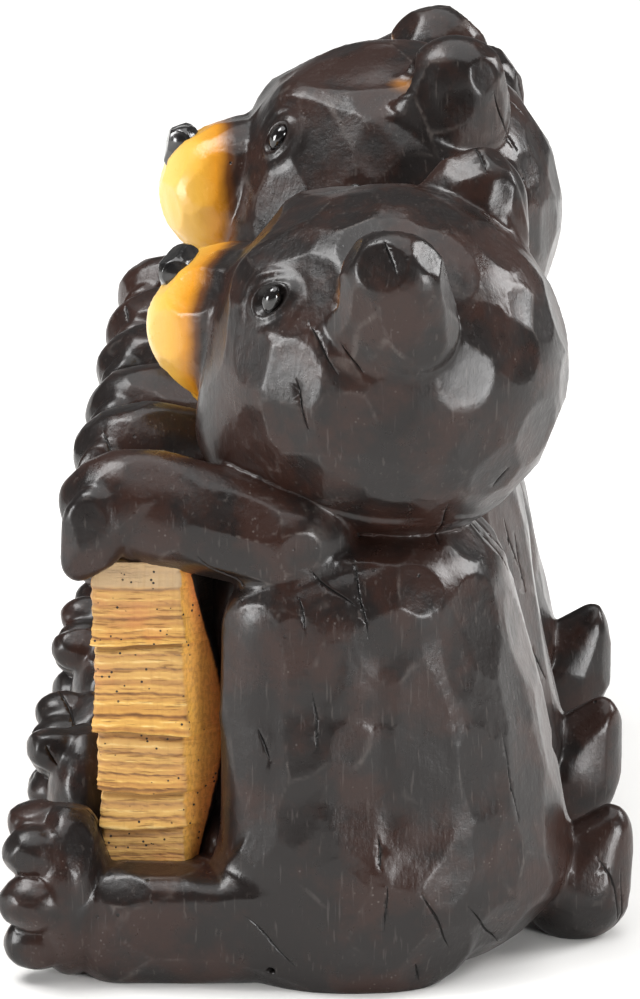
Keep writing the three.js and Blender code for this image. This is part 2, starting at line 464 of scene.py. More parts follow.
@dataclass(frozen=True)
class Checks:
    """Fine splits that open in drying wood, roughly along the grain."""

    count: int = 58
    shortest: float = 9.0
    longest: float = 34.0
    half_width: float = 0.45
    depth: float = 0.8
    slant: float = 0.22
    band: float = 1.2  # mm beside a split where the mesh is refined
    vent: tuple[float, float, float] | None = None
    vent_radius: float = 1.6
    vent_depth: float = 2.4
    vent_patch: float = 3.0  # mm round the vent hole where the mesh is refined
    clear_of_ground: float = 8.0
    tries: int = 6  # starts drawn for each split, since many fall where none may open
    wobble: float = 0.35
    cuts: int = 3

    def on_skin(self, piece: bpy.types.Object) -> "Checks":
        """The same checks with the vent hole moved onto a piece's skin.

        Args:
            piece: the carved mesh.

        Returns:
            The checks to open in this piece.
        """
        if not self.vent:
            return self
        places = coordinates(piece)
        nearest = np.linalg.norm(places - np.array(self.vent, np.float32), axis=1).argmin()
        return replace(self, vent=tuple(places[nearest].tolist()))

    def open_in(self, piece: bpy.types.Object, rng: np.random.Generator, spared: list[Region]) -> None:
        """Splits a piece's skin and marks the splits and the vent hole, which the stain darkens as painted
        shade.

        Args:
            piece: the carved mesh.
            rng: the source of chance for where the splits open.
            spared: parts where no split starts.
        """
        places, outward = coordinates(piece), normals(piece)
        starts = rng.integers(0, len(places), self.count * self.tries)
        lines = []
        for index in starts:
            # only the sides and the back split
            sideways = abs(outward[index][0]) > 0.55 or outward[index][1] > 0.5
            whole = any(math.dist(places[index], region.at) < region.reach for region in spared)
            if whole or not sideways or places[index][2] < self.clear_of_ground or len(lines) >= self.count:
                continue
            lines.append(self.line(places[index], outward[index], rng))
        self.refine(piece, lines)
        places, outward = coordinates(piece), normals(piece)
        sunk = np.zeros(len(places), np.float32)
        split_and_vent_shade = np.zeros(len(places), np.float32)
        for line in lines:
            across, taper = self.measure(places, line)
            width = self.half_width * np.maximum(taper, 0.05)
            inside = np.clip(1.0 - (across / width) ** 2, 0.0, 1.0) * (taper > 0.0)
            sunk = np.minimum(sunk, -self.depth * inside * taper**0.5)
            split_and_vent_shade = np.maximum(split_and_vent_shade, np.clip(1.6 * inside, 0.0, 1.0))
        if self.vent:
            away = np.linalg.norm(places - np.array(self.vent, np.float32), axis=1)
            hole = 1.0 - smoothstep(0.6 * self.vent_radius, self.vent_radius, away)
            sunk = np.minimum(sunk, -self.vent_depth * hole)
            split_and_vent_shade = np.maximum(split_and_vent_shade, hole)
        move_to(piece, places + outward * sunk[:, None])
        # the mark darkens the splits and the vent hole in the stain: painted shade
        mark(piece, "check_shade", split_and_vent_shade)

    def line(self, start: np.ndarray, facing: np.ndarray, rng: np.random.Generator) -> tuple:
        """One split: its start, its directions along and across, half its length and its wobble.

        Args:
            start: its middle.
            facing: the skin's normal there.
            rng: the source of chance.

        Returns:
            All of these in a row, with the normal before the length.
        """
        upright = np.array([0.0, -0.45, 1.0]) + rng.normal(0.0, self.slant, 3)
        across = np.cross(facing, upright)
        across /= np.linalg.norm(across)
        along = np.cross(across, facing)
        half = 0.5 * rng.uniform(self.shortest, self.longest)
        return start, along, across, facing, half, rng.uniform(0.0, 6.0)

    def measure(self, places: np.ndarray, line: tuple) -> tuple[np.ndarray, np.ndarray]:
        """How far places lie across a split, and how open the split is beside them, from 0 to 1.

        Args:
            places: the points, one row each.
            line: the split, as line() gives it.

        Returns:
            The distances across, in millimetres, and the openness.
        """
        start, along, across, facing, half, phase = line
        gap = places - start
        run = gap @ along
        deep = gap @ facing
        wobble = self.wobble * np.sin(0.3 * run + phase) - self.wobble * math.sin(phase)
        taper = np.clip(1.0 - (run / half) ** 2, 0.0, 1.0)
        taper[(deep < -0.014 * half**2 - 2.0) | (deep > 2.5)] = 0.0
        return gap @ across - wobble, taper

    def refine(self, piece: bpy.types.Object, lines: list[tuple]) -> None:
        """Cuts the faces beside the splits small enough to hold them.

        Args:
            piece: the carved mesh.
            lines: the splits, as line() gives them.
        """
        places = coordinates(piece)
        near = np.zeros(len(places), bool)
        for line in lines:
            across, taper = self.measure(places, line)
            near |= (np.abs(across) < self.band) & (taper > 0.0)
        if self.vent:
            away = np.linalg.norm(places - np.array(self.vent, np.float32), axis=1)
            near |= away < self.vent_patch
        choose(piece)
        bpy.ops.object.mode_set(mode="EDIT")
        bpy.ops.mesh.select_mode(type="VERT")
        bpy.ops.mesh.select_all(action="DESELECT")
        bpy.ops.object.mode_set(mode="OBJECT")
        piece.data.vertices.foreach_set("select", near)
        bpy.ops.object.mode_set(mode="EDIT")
        bpy.ops.mesh.subdivide(number_cuts=self.cuts, smoothness=0.0)
        bpy.ops.object.mode_set(mode="OBJECT")


# ---- The bears -----------------------------------------------------------------------------


@dataclass(frozen=True)
class Pose:
    """How a bear holds its head, in degrees: turned, tilted to a side, and nodded."""

    turn: float
    tilt: float
    nod: float = 0.0


@dataclass
class Bear:
    """One bear of the group, in millimetres, facing -Y with +X on its left."""

    name: str
    x: float
    head_height: float
    pose: Pose
    seed: int
    eye: tuple[float, float, float] = (41.5, -26.5, 42.5)
    vent: tuple[float, float, float] | None = None
    head_back: float = 22.0
    head_base: float = 210.0
    leg_spread: float = 40.0
    arm_spread: float = 29.0
    sole_front: float = -98.0
    skin_step: float = 1.2
    skin_growth: float = 1.1  # what the strokes take off again on average
    side_smoothing: int = 48
    side_levels: int = 4
    most_faces: int = 185000
    gouge: Gouge = field(default_factory=Gouge)
    checks: Checks = field(default_factory=Checks)
    ear_hollow: tuple[float, float, float] = (42, -3.5, 52)
    ear_rise: tuple[float, float] = (0.0, 0.0)
    eye_spared: float = 26.0
    muzzle_spared: float = 42.0
    socket_depth: float = 2.3
    lid_height: float = 0.55
    eye_opening: tuple[float, float] = (5.4, 3.6)
    eye_dome: tuple[float, float, float] = (5.1, 3.4, 3.2)
    eye_forward: float = 1.1
    eye_slant: tuple[float, float] = (-0.35, 0.9)
    eye_frames: list[Matrix] = field(default_factory=list)

    @property
    def lift(self) -> float:
        """How much higher this bear sits than the smallest."""
        return self.head_height - self.head_base

    def head_matrix(self) -> Matrix:
        """From the head's own frame, with the skull's middle as origin, to the bear's place.

        Returns:
            The matrix, in millimetres.
        """
        turn = Matrix.Rotation(math.radians(self.pose.turn), 4, "Z")
        tilt = Matrix.Rotation(math.radians(self.pose.tilt), 4, "Y")
        nod = Matrix.Rotation(math.radians(self.pose.nod), 4, "X")
        return Matrix.Translation((self.x, self.head_back, self.head_height)) @ turn @ tilt @ nod

    # -- blocking out --

    def trunk(self) -> list[bpy.types.Object]:
        """A broad seat, a sloping back and a chest that runs up under the chin.

        Returns:
            The masses, one mesh object each.
        """
        seat = Egg((0, 24, 34), (62, 64, 42))
        belly = Egg((0, 23, 80), (57, 55, 46))
        shoulders = Egg((0, 22, self.head_height - 80), (52, 43, 34))
        return [hull([seat, belly, shoulders])]

    def legs(self, side: Side) -> list[bpy.types.Object]:
        """A haunch folded at the side, a leg along the ground and an upright sole.

        Args:
            side: the side it is built on.

        Returns:
            The masses, one mesh object each.
        """
        x = self.leg_spread
        haunch = Egg((44, 10, 31), (22, 49, 41))
        knee = Egg((x, -22, 20), (21, 30, 22))
        ankle = Egg((x, -68, 18), (19, 21, 22))
        foot = Egg((x, -87, 31), (21, 14, 31))
        thigh = Egg((50, -26, 34), (12.5, 26, 8))
        shin = Egg((47, -62, 33), (13, 20, 8.5))
        leg = [egg.on(side) for egg in (knee, ankle, thigh, shin)]
        legs = [hull([haunch.on(side)]), hull(leg), hull([foot.on(side)])]
        return legs + self.flank(side)

    def flank(self, side: Side) -> list[bpy.types.Object]:
        """The log left standing between the arm and the haunch, and the lap behind the sign.

        Args:
            side: the side it is built on.

        Returns:
            The masses, one mesh object each.
        """
        high = Egg((39, -3, 126 + self.lift / 2), (19, 31, 25))
        low = Egg((42, 2, 45), (23, 37, 34))
        lap = [Egg((14, -17, 131), (14, 24, 19)), Egg((14, -20, 60), (14, 25, 36))]
        groin = Egg((24, -23, 43), (15, 21, 12))
        masses = ([high, low], lap, [groin])
        return [hull([egg.on(side) for egg in eggs]) for eggs in masses]

    def toes(self, side: Side) -> list[bpy.types.Object]:
        """Four toes round the outer edge of the sole, from its top to its heel.

        Args:
            side: the side it is built on.

        Returns:
            The masses, one mesh object each.
        """
        first_angle, step_angle = math.radians(95), math.radians(-48)
        toes = []
        for index, radius in enumerate((7.5, 8.0, 9.0, 8.5)):
            angle = first_angle + step_angle * index
            x = self.leg_spread - 1 + 15 * math.cos(angle)
            z = 31 + 22.5 * math.sin(angle)
            toe = Egg((x, self.sole_front, z), (radius + 0.4, radius + 3, radius + 0.6))
            toes.append(hull([toe.on(side)], detail=4))
        return toes

    def arm(self, side: Side) -> list[bpy.types.Object]:
        """An upper arm down the side and a forearm that reaches forward onto the sign.

        Args:
            side: the side it is built on.

        Returns:
            The masses, one mesh object each.
        """
        shoulder = Egg((32, 18, 132 + self.lift), (22, 32, 25))
        elbow = Egg((39, -4, 125 + self.lift / 2), (19, 30, 27))
        wrist = Egg((self.arm_spread + 6, -13, 157), (18, 24, 17))
        paw = Egg((self.arm_spread, -62, 167), (16, 27, 19))
        return [hull([shoulder.on(side), elbow.on(side)]), hull([wrist.on(side), paw.on(side)])]

    def fingers(self, side: Side) -> list[bpy.types.Object]:
        """Four fingers hooked over the sign's top edge.

        Args:
            side: the side it is built on.

        Returns:
            The masses, one mesh object each.
        """
        fingers = []
        for index in range(4):
            x = self.arm_spread + 8.2 * (index - 1.5)
            knuckle = Egg((x, -76, 162), (5.8, 11, 14))
            tip = Egg((x, -82, 151), (4.8, 5.5, 7))
            fingers.append(hull([knuckle.on(side), tip.on(side)], detail=4))
        return fingers

    def tail(self) -> list[bpy.types.Object]:
        """The stub of a tail, a leaf shape that stands up off the back."""
        root, tip = Egg((0, 90, 18), (16, 20, 20)), Egg((0, 103, 36), (8, 7, 12))
        return [hull([root, tip], detail=4)]

    def head(self) -> list[bpy.types.Object]:
        """Skull, brows and jowls in one round mass, with snout, chin and ears.

        Returns:
            The masses, one mesh object each.
        """
        skull = Egg((0, 0, 0), (60, 62, 61))
        jowl = Egg((20, -26, -19), (31, 35, 33))
        brow = Egg((19, -26, 36), (20, 21, 15))
        cheek = Egg((9, -50, 7), (18, 34, 27))
        bridge = Egg((0, -46, 22), (15, 27, 12.5))
        chin = Egg((0, -60, -16), (13, 15, 11))
        masses = [
            hull([skull, jowl, jowl.mirrored(), brow, brow.mirrored()]),
            hull([cheek, cheek.mirrored(), bridge]),
            hull([chin], detail=4),
        ]
        for side in Side:
            masses += self.ear(side)
        matrix = Matrix.Translation((-self.x, 0, 0)) @ self.head_matrix()
        for mass in masses:
            mass.data.transform(matrix)
        return masses

    def ear(self, side: Side) -> list[bpy.types.Object]:
        """A thick round ear, hollow in front and faired into the skull behind.

        Args:
            side: the side it is built on.

        Returns:
            The masses, one mesh object each.
        """
        rise = self.ear_rise[0] if side is Side.LEFT else self.ear_rise[1]
        root = Egg((39, 17, 38), (14.5, 23, 22))
        tip = Egg((42, 20, 49.5 + rise), (13.5, 18.5, 18))
        ear = hull([root.on(side), tip.on(side)], detail=4)
        cut_away(ear, hull([Egg(self.ear_hollow, (8.5, 11, 11)).on(side)], detail=4))
        return [ear]

    # -- carving --

    def regions(self) -> list[Region]:
        """The parts of this bear that take strokes of their own size.

        Returns:
            The regions; later ones win.
        """
        matrix = self.head_matrix()

        def on_head(at: tuple[float, float, float]) -> tuple[float, float, float]:
            """Where a place in the head's own frame lies."""
            return tuple(matrix @ Vector(at))

        skull = Region(on_head((0, 0, 0)), reach=74, stroke=19.5, stretch=0.95)
        muzzle = Region(on_head((0, -60, 6)), reach=36, stroke=14, strength=1.2)
        regions = [skull, muzzle]
        for side in Side:
            sign = side.value
            ear = on_head((sign * 41, 20, 54))
            eye = on_head((sign * self.eye[0], self.eye[1], self.eye[2]))
            paw = (self.x + sign * self.arm_spread, -76, 160)
            sole = (self.x + sign * self.leg_spread, -98, 30)
            regions += [
                Region(ear, reach=32, stroke=13.5, stretch=0.9, strength=1.15),
                Region(eye, reach=14, stroke=9, strength=0.5),
                Region(paw, reach=32, stroke=12, strength=0.8),
                Region(sole, reach=36, stroke=9, strength=0.6),
            ]
        tail = Region((self.x, 104, 25), reach=30, stroke=14, stretch=0.6, strength=0.6)
        return regions + [tail]

    def skin(self) -> bpy.types.Object:
        """Melts the blocked-out masses into one smooth closed skin.

        Returns:
            The skin as one mesh object, named for the bear.
        """
        masses = self.trunk() + self.tail() + self.head()
        for side in Side:
            masses += self.legs(side) + self.toes(side) + self.arm(side) + self.fingers(side)
        body = join(masses, self.name)
        body.data.transform(Matrix.Translation((self.x, 0, 0)))
        apply_modifier(body, "REMESH", mode="VOXEL", voxel_size=self.skin_step, adaptivity=0.0)
        apply_modifier(body, "SMOOTH", factor=0.5, iterations=7)
        self.fuse_sides(body)
        places = coordinates(body)
        sunk = np.full(len(places), self.skin_growth, np.float32)
        for crease in self.creases():
            sunk += crease.sink(places)
        move_to(body, places + normals(body) * sunk[:, None])
        return body

    def fuse_sides(self, body: bpy.types.Object) -> None:
        """Melts the masses of each side into one smooth flank.

        Args:
            body: the bear's skin.
        """
        places = coordinates(body)
        out = np.abs(places[:, 0] - self.x)
        share = smoothstep(26.0, 40.0, out) * smoothstep(-38.0, -26.0, places[:, 1])
        share *= smoothstep(0.0, 14.0, places[:, 2]) * smoothstep(168.0, 152.0, places[:, 2])
        group = body.vertex_groups.new(name="side")
        # the smoothing fades out towards its border in a few even levels
        step = 1.0 / self.side_levels
        for level in range(1, self.side_levels + 1):
            chosen = np.flatnonzero((share > step * level - 0.2)).tolist()
            group.add(chosen, step, "ADD")
        apply_modifier(body, "SMOOTH", factor=0.5, iterations=self.side_smoothing, vertex_group="side")
        body.vertex_groups.clear()

    def creases(self) -> list[Crease]:
        """Soft grooves below the upper arms and above the haunches.

        Returns:
            The grooves, two on each side.
        """
        creases = []
        for side in Side:
            x = self.x + side.value * 61
            arm = ((x, -32, 97), (x, -4, 103), (x, 30, 98), (x, 60, 84))
            haunch = ((x + side.value * 4, -34, 66), (x + side.value * 4, 0, 74), (x, 44, 66))
            creases += [Crease(arm, 6.0, 1.3), Crease(haunch, 7.0, 1.1)]
        return creases

    def carve_eyes(self, body: bpy.types.Object) -> None:
        """Sinks an almond socket for each eye and raises the lids round it.

        Args:
            body: the bear's skin.
        """
        places, outward = coordinates(body), normals(body)
        push = np.zeros(len(places), np.float32)
        self.eye_frames.clear()
        for side in Side:
            frame_axes = self.eye_frame(places, outward, side)
            self.eye_frames.append(frame_axes)
            inverse = np.array(frame_axes.inverted(), np.float32)
            local = places @ inverse[:3, :3].T + inverse[:3, 3]
            half_length, half_width = self.eye_opening
            almond = np.sqrt((local[:, 0] / half_length) ** 2 + (local[:, 1] / half_width) ** 2)
            near = np.linalg.norm(local, axis=1) < 15.0
            socket = -self.socket_depth * (1.0 - smoothstep(0.7, 1.1, almond))
            lid = self.lid_height * np.exp(-(((almond - 1.32) / 0.22) ** 2))
            hollow = -self.lid_height * np.exp(-(((almond - 1.85) / 0.4) ** 2))
            push += np.where(near, socket + lid + hollow, 0.0)
        move_to(body, places + outward * push[:, None])

    def eye_frame(self, places: np.ndarray, outward: np.ndarray, side: Side) -> Matrix:
        """An eye's own frame on the skin: along its slanting opening, across it, and outwards.

        Args:
            places: the skin's points, one row each.
            outward: the skin's normals there.
            side: the side of the eye.

        Returns:
            The frame, with its origin on the skin.
        """
        aim = self.head_matrix() @ Vector((side.value * self.eye[0], self.eye[1], self.eye[2]))
        away = np.linalg.norm(places - np.array(aim, np.float32), axis=1)
        around = away < away.min() + 5.0
        ahead = self.head_matrix().to_3x3() @ Vector((0.0, -self.eye_forward, 0.0))
        facing = (Vector(outward[around].mean(0).tolist()).normalized() + ahead).normalized()
        slant = self.head_matrix().to_3x3() @ Vector((side.value * 0.2, *self.eye_slant))
        along = (slant - facing * slant.dot(facing)).normalized()
        frame_axes = Matrix((along, facing.cross(along), facing)).transposed().to_4x4()
        frame_axes.translation = Vector(places[away.argmin()].tolist())
        return frame_axes

    def paint_zones(self, body: bpy.types.Object) -> None:
        """Marks how far along the muzzle each place lies, and what is inside an ear.

        Args:
            body: the bear's skin.
        """
        places = coordinates(body)
        inverse = np.array(self.head_matrix().inverted(), np.float32)
        local = places @ inverse[:3, :3].T + inverse[:3, 3]
        x, y, z = local.T
        round_muzzle = np.sqrt((x / 36) ** 2 + ((y + 62) / 42) ** 2 + ((z - 4) / 42) ** 2)
        inside = (1.0 - smoothstep(0.95, 1.0, round_muzzle)) * smoothstep(187.5, 189.0, places[:, 2])
        mark(body, "muzzle", inside * np.clip((-56.0 - y) / 30.0, 0.0, 1.0))
        hollow = np.zeros(len(places), np.float32)
        for side in Side:
            middle = (side.value * self.ear_hollow[0], self.ear_hollow[1], self.ear_hollow[2])
            gap = (local - np.array(middle, np.float32)) / np.array((8.8, 11.0, 11.0), np.float32)
            hollow = np.maximum(hollow, 1.0 - smoothstep(0.85, 1.08, np.linalg.norm(gap, axis=1)))
        mark(body, "inner_ear", hollow * smoothstep(-3.0, 2.0, y) * smoothstep(44.0, 48.0, z))

    def build(self, finish: "StainedResin") -> bpy.types.Object:
        """Makes the whole carved bear.

        Args:
            finish: the stain and gloss it is dressed in.

        Returns:
            The finished bear, in metres.
        """
        rng = np.random.default_rng(self.seed)
        body = self.skin()
        self.carve_eyes(body)
        self.gouge.cut(body, self.regions(), rng)
        apply_modifier(body, "SMOOTH", factor=0.4, iterations=1)
        muzzle = self.head_matrix() @ Vector((0.0, -64.0, 6.0))
        spared = [Region(tuple(muzzle), self.muzzle_spared, stroke=0.0)]
        spared += [Region(tuple(eye.translation), self.eye_spared, stroke=0.0) for eye in self.eye_frames]
        replace(self.checks, vent=self.vent).on_skin(body).open_in(body, rng, spared)
        self.stand_flat(body)
        faces = len(body.data.loops) - 2 * len(body.data.polygons)
        LOG.info("%s: %d triangles before they are thinned out", self.name, faces)
        apply_modifier(body, "DECIMATE", ratio=min(1.0, self.most_faces / faces))
        self.paint_zones(body)
        body.data.materials.append(finish.material())
        finish_piece(body, 180)
        return body

    def stand_flat(self, body: bpy.types.Object) -> None:
        """Saws the bear off flat at the ground.

        Args:
            body: the bear's skin.
        """
        choose(body)
        bpy.ops.object.mode_set(mode="EDIT")
        bpy.ops.mesh.select_all(action="SELECT")
        bpy.ops.mesh.bisect(plane_co=(0, 0, 0), plane_no=(0, 0, 1), use_fill=True, clear_inner=True)
        bpy.ops.object.mode_set(mode="OBJECT")

    def eyes(self, finish: "BlackGloss") -> bpy.types.Object:
        """The two glossy domes set in the carved sockets.

        Args:
            finish: the gloss it is dressed in.

        Returns:
            Both eyes as one finished object, in metres.
        """
        domes = []
        for frame_axes in self.eye_frames:
            deselect_all()
            bpy.ops.mesh.primitive_uv_sphere_add(segments=40, ring_count=24, radius=1.0)
            dome = bpy.context.object
            size = Matrix.Diagonal((*self.eye_dome, 1.0))
            dome.data.transform(frame_axes @ Matrix.Translation((0.0, 0.0, -1.6)) @ size)
            domes.append(dome)
        eyes = join(domes, self.name + "_eyes")
        places = coordinates(eyes)
        ripple = 0.05 * np.sin(places[:, 0] * 2.1) * np.sin(places[:, 2] * 1.7)
        move_to(eyes, places + normals(eyes) * ripple[:, None])
        eyes.data.materials.append(finish.material())
        finish_piece(eyes, 180)
        return eyes

    def nose(self, finish: "BlackGloss") -> bpy.types.Object:
        """The nose pad: a small faceted block on the end of the snout.

        Args:
            finish: the gloss it is dressed in.

        Returns:
            The finished nose, in metres.
        """
        nostril = Egg((4.5, -75.5, 26.0), (6, 6.5, 6))
        pad = hull([nostril, nostril.mirrored(), Egg((0, -79, 19), (4, 4.5, 5))], detail=4)
        pad.name = pad.data.name = self.name + "_nose"
        apply_modifier(pad, "REMESH", mode="VOXEL", voxel_size=0.4, adaptivity=0.0)
        pad.data.transform(self.head_matrix())
        rng = np.random.default_rng(self.seed + 50)
        Gouge(stroke=10.0, stretch=1.0, lean=0.04, soften=0.2, deepest=1.0).cut(pad, [], rng)
        apply_modifier(pad, "SMOOTH", factor=0.4, iterations=2)
        pad.data.materials.append(finish.material())
        finish_piece(pad, 180)
        return pad


# ---- The sign ------------------------------------------------------------------------------


@dataclass
class SignBoard:
    """The hewn board across the bears' laps, with split ends and a wedge behind, in millimetres."""

    length: float = 308.0
    bottom: float = 37.5
    top: float = 149.0
    front: float = -79.0
    back: float = -47.0
    wedge: float = 12.0
    columns: int = 120
    rows: int = 220
    layers: int = 36
    flat: float = 0.72  # share of the layers that make the board; the rest make the wedge
    breaks: tuple[float, ...] = (-0.01, 0.085, 0.27, 0.56, 0.75, 0.87, 1.01)
    swells: tuple[float, ...] = (0.7, 2.6, 3.6, 2.4, 1.8, 1.6)

    @property
    def height(self) -> float:
        """The board's height."""
        return self.top - self.bottom

    def blank(self) -> bpy.types.Object:
        """A finely divided block, one unit each way, that the board is shaped from.

        Returns:
            The block.
        """
        deselect_all()
        bpy.ops.mesh.primitive_grid_add(x_subdivisions=self.columns, y_subdivisions=self.rows, size=2.0)
        board = bpy.context.object
        board.name = board.data.name = "sign_board"
        bpy.ops.object.mode_set(mode="EDIT")
        bpy.ops.mesh.select_all(action="SELECT")
        for _ in range(self.layers):
            bpy.ops.mesh.extrude_region_move(TRANSFORM_OT_translate={"value": (0, 0, 1.0 / self.layers)})
        bpy.ops.mesh.select_all(action="SELECT")
        bpy.ops.mesh.normals_make_consistent(inside=False)
        bpy.ops.object.mode_set(mode="OBJECT")
        return board

    def strata(self, down: np.ndarray) -> tuple[np.ndarray, np.ndarray]:
        """The broken layers of a split end: each swells downwards and then breaks back sharply.

        Args:
            down: shares of the board's height, from its top.

        Returns:
            How far the wood stands out, in millimetres, and how deep in a split it lies, 0 to 1.
        """
        stands = np.zeros_like(down)
        splits = np.zeros_like(down)
        for first, last, swell in zip(self.breaks, self.breaks[1:], self.swells):
            share = np.clip((down - first) / (last - first), 0.0, 1.0)
            inside = (down >= first) & (down < last)
            swelling = swell * share**1.5 * (1.0 - smoothstep(0.93, 1.0, share))
            stands = np.where(inside, swelling, stands)
            if 0.1 < last < 1.0:
                splits = np.maximum(splits, np.exp(-(((down - last) / 0.009) ** 2)))
        return stands, splits

    @staticmethod
    def ridges(down: np.ndarray) -> np.ndarray:
        """The fine uneven ridges on the layers, from -1 in a groove to 1 on a crest.

        Args:
            down: shares of the board's height, from its top.

        Returns:
            The ridges' heights.
        """
        warp = down + 0.011 * np.sin(19 * down + 0.6) + 0.006 * np.sin(47 * down)
        coarse = 2.0 * np.abs(np.sin(math.pi * 23 * warp)) ** 0.5 - 1.0
        fine = 1.0 - 2.0 * np.abs(np.sin(math.pi * 61 * warp + 0.4)) ** 0.8
        share = 0.5 + 0.5 * np.sin(2 * math.pi * 3.7 * down + 1.0)
        return np.clip((0.55 + 0.25 * share) * coarse + (0.4 - 0.2 * share) * fine, -1.0, 1.0)

    @staticmethod
    def belly(down: np.ndarray) -> np.ndarray:
        """How far the wedge behind the board swells, from 0 to 1, most at half height."""
        return np.exp(-(((down - 0.54) / 0.4) ** 2))

    def shape(self, board: bpy.types.Object) -> None:
        """Gives the block its outline, its rolling face, its split ends and its wedge.

        Args:
            board: the block, as blank() gives it.
        """
        # places in the block, as shares of its length, height and depth
        unit = coordinates(board)
        along, share, depth = unit[:, 0], 0.5 + 0.5 * unit[:, 1], 1.0 - unit[:, 2]
        along = np.sign(along) * (1.0 - (1.0 - np.abs(along)) ** 1.6)
        side = np.sign(along)
        down = 1.0 - share
        behind = np.clip((depth - self.flat) / (1.0 - self.flat), 0.0, 1.0)
        before = np.clip(depth / self.flat, 0.0, 1.0)
        # the split ends: broken layers with fine ridges, a smooth strip on top, a bevelled wedge
        wander = 0.007 * np.sin(4.0 * before + 2.0 * side + 9 * down)
        wander += 0.0015 * np.sin(13 * before + 30 * down)
        stands, splits = self.strata(down + wander)
        tangle = 0.0012 * np.sin(23 * before + 61 * down) + 0.0008 * np.sin(47 * before + 140 * down)
        fine = self.ridges(down + 0.6 * wander + tangle)
        fine *= 0.9 + 0.1 * np.sin(11 * before + 80 * down + 3 * np.sin(40 * down))
        capped = smoothstep(0.07, 0.09, down)
        smooth = 1.0 - smoothstep(0.0, 0.12, behind)
        rough = capped * smooth
        strokes = 0.25 * np.sin(70 * before + 3 * np.sin(4 * before)) * (1.0 - capped)
        reach = 0.5 * self.length - 3.2 + stands * (0.35 + 0.65 * smooth)
        reach += (0.5 * fine - 1.5 * splits) * rough
        bevel = 10.0 * behind**1.1 * (0.25 + 0.75 * self.belly(down))
        reach += strokes - 0.8 * np.exp(-before / 0.03) - bevel
        x = along * reach
        to_end = np.exp(-(0.5 * self.length - np.abs(x)) / 14.0)
        ends = smoothstep(0.5, 0.9, to_end)
        # the front: four rolling cuts with fine grain, and the layers again near the ends
        roll = 1.4 * np.abs(np.sin(math.pi * 4 * share))
        face = self.front + 2.6 * (1.0 - share) + 1.6 - roll * (1.0 - ends)
        long_waves = 0.35 * np.sin(0.031 * x) + 0.2 * np.sin(0.11 * x)
        grain = 0.3 * np.sin(2 * math.pi * (23 * share + long_waves))
        grain += 0.12 * np.sin(2 * math.pi * 57 * share + 4 * long_waves)
        face += grain * (1.0 - ends) - (0.75 * stands + 0.5 * fine * capped - 1.2 * splits) * ends
        # the back: flat between the ends, swelling into a wedge at each
        near_end = smoothstep(0.06, 0.4, to_end)
        border = self.back + (1.0 * (stands - 1.2) + 0.6 * fine) * ends
        swelling = (0.05 + 1.1 * self.belly(down)) * near_end + 1.0 - near_end
        rear = border + self.wedge * swelling
        y = np.where(behind > 0.0, border + behind * (rear - border), face + before * (border - face))
        # the top and bottom edges, a little wavy
        up = np.abs(unit[:, 1])
        wave = 0.9 * np.sin(0.045 * x + 0.8) + 0.5 * np.sin(0.11 * x) + 0.25 * np.sin(0.37 * x)
        z = self.bottom + self.height * share + wave * up**6
        z -= np.where(share > 0.5, 5.0, 0.0) * behind**1.5 * up**8
        lip = 1.4 * np.clip((0.05 - depth) / 0.05, 0, 1) ** 2
        z -= np.sign(unit[:, 1]) * lip * up**14
        move_to(board, np.stack([x, y, z], 1))
        # what the paint reads
        # crest: painted highlight on the crests and painted shade in the grooves of the split ends; along
        # the front the same stripes are grain
        mark(board, "crest", 0.5 + 0.5 * fine * (0.3 + 0.7 * ends * smooth))
        # painted shade in the splits under each broken layer
        mark(board, "notch_shade", np.clip(splits * capped * ends * smooth, 0.0, 1.0))
        mark(board, "shade", np.clip(1.0 - stands / 2.2, 0.0, 1.0) * ends * rough)
        mark(board, "cap", (1.0 - capped) * smooth * ends)
        mark(board, "wedge", smoothstep(0.0, 0.1, behind))
        mark(board, "rust", behind)
        mark(board, "seam", smoothstep(0.8, 1.0, behind) * np.where(up > 0.97, 0.0, 1.0))

    def build(self, finish: "SignPaint") -> bpy.types.Object:
        """Makes the whole board.

        Args:
            finish: the paint it is dressed in.

        Returns:
            The finished board, in metres.
        """
        board = self.blank()
        self.shape(board)
        board.data.materials.append(finish.material())
        finish_piece(board, 180)
        return board


# ---- Finishes ------------------------------------------------------------------------------

Colour = tuple[float, float, float, float]


def rgb(code: str) -> Colour:
    """A linear colour from a hexadecimal code as painted.

    Args:
        code: six hexadecimal digits.

    Returns:
        The red, green, blue and alpha, 0 to 1.
    """
    shares = [int(code[place:place + 2], 16) / 255 for place in (0, 2, 4)]
    red, green, blue = (
        share / 12.92 if share < 0.04045 else ((share + 0.055) / 1.055) ** 2.4 for share in shares
    )
    return (red, green, blue, 1.0)


